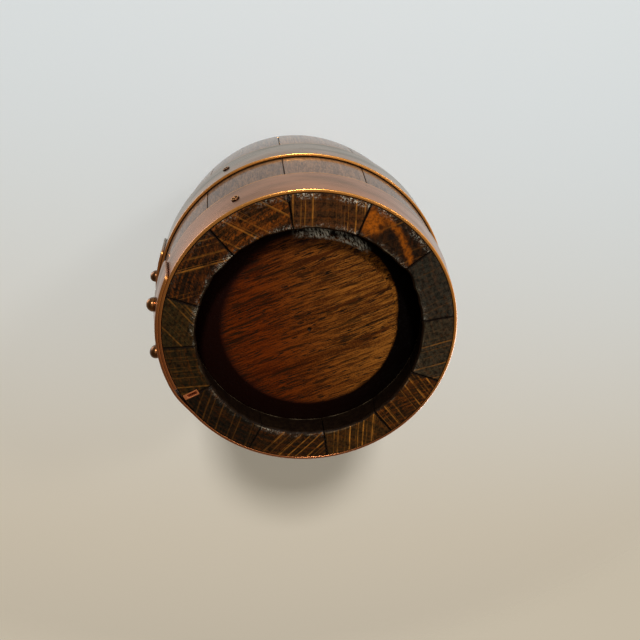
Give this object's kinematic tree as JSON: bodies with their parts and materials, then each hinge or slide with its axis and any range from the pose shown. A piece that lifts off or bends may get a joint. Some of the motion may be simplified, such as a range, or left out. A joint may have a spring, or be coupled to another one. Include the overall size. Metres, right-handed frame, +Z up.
{
  "type": "coopered pitcher",
  "caption": "Coopered oak pitcher: bulging staves bound by lapped and riveted copper hoops, a recessed wooden bottom, a carved pouring lip and an ear-shaped wooden handle.",
  "frame": {"origin": "centre of the base circle on the vessel's axis, at the level that the chime stands on", "axes": "+Z up along the vessel's axis, spout towards -X, handle towards +X, hoop laps on the +Y side"},
  "size_m": [0.2256, 0.1725, 0.262],
  "materials": {
    "oak_stave": "dark stained oak, varnished outside, bare end grain",
    "oak_head": "red-brown oiled oak, satin",
    "oak_handle": "dark stained oak, varnished",
    "copper_hoop": "polished copper strip with brown tarnish",
    "copper_rivet": "hammered copper",
    "copper_nail": "dark tarnished copper",
    "copper_shim": "folded copper strip, tarnished",
    "screw": "plain turned brass"
  },
  "bodies": {
    "root": {"bottom_head": "oak_head", "chime_hoop": "copper_hoop", "chime_hoop_nail_1": "copper_nail", "chime_hoop_nail_2": "copper_nail", "chime_hoop_nail_3": "copper_nail", "chime_hoop_rivet_1": "copper_rivet", "chime_hoop_rivet_2": "copper_rivet", "chime_shim": "copper_shim", "handle": "oak_handle", "handle_screw_1": "screw", "handle_screw_2": "screw", "handle_screw_3": "screw", "handle_screw_4": "screw", "handle_stave": "oak_stave", "lower_belly_hoop": "copper_hoop", "lower_belly_hoop_nail_1": "copper_nail", "lower_belly_hoop_nail_2": "copper_nail", "lower_belly_hoop_nail_3": "copper_nail", "lower_belly_hoop_rivet_1": "copper_rivet", "lower_belly_hoop_rivet_2": "copper_rivet", "rim_hoop": "copper_hoop", "rim_hoop_nail_1": "copper_nail", "rim_hoop_nail_2": "copper_nail", "rim_hoop_nail_3": "copper_nail", "rim_hoop_rivet_1": "copper_rivet", "rim_hoop_rivet_2": "copper_rivet", "spout_stave": "oak_stave", "stave_02": "oak_stave", "stave_03": "oak_stave", "stave_04": "oak_stave", "stave_05": "oak_stave", "stave_06": "oak_stave", "stave_08": "oak_stave", "stave_09": "oak_stave", "stave_10": "oak_stave", "stave_11": "oak_stave", "stave_12": "oak_stave", "upper_belly_hoop": "copper_hoop", "upper_belly_hoop_nail_1": "copper_nail", "upper_belly_hoop_nail_2": "copper_nail", "upper_belly_hoop_nail_3": "copper_nail", "upper_belly_hoop_rivet_1": "copper_rivet", "upper_belly_hoop_rivet_2": "copper_rivet"}
  },
  "joints": []
}
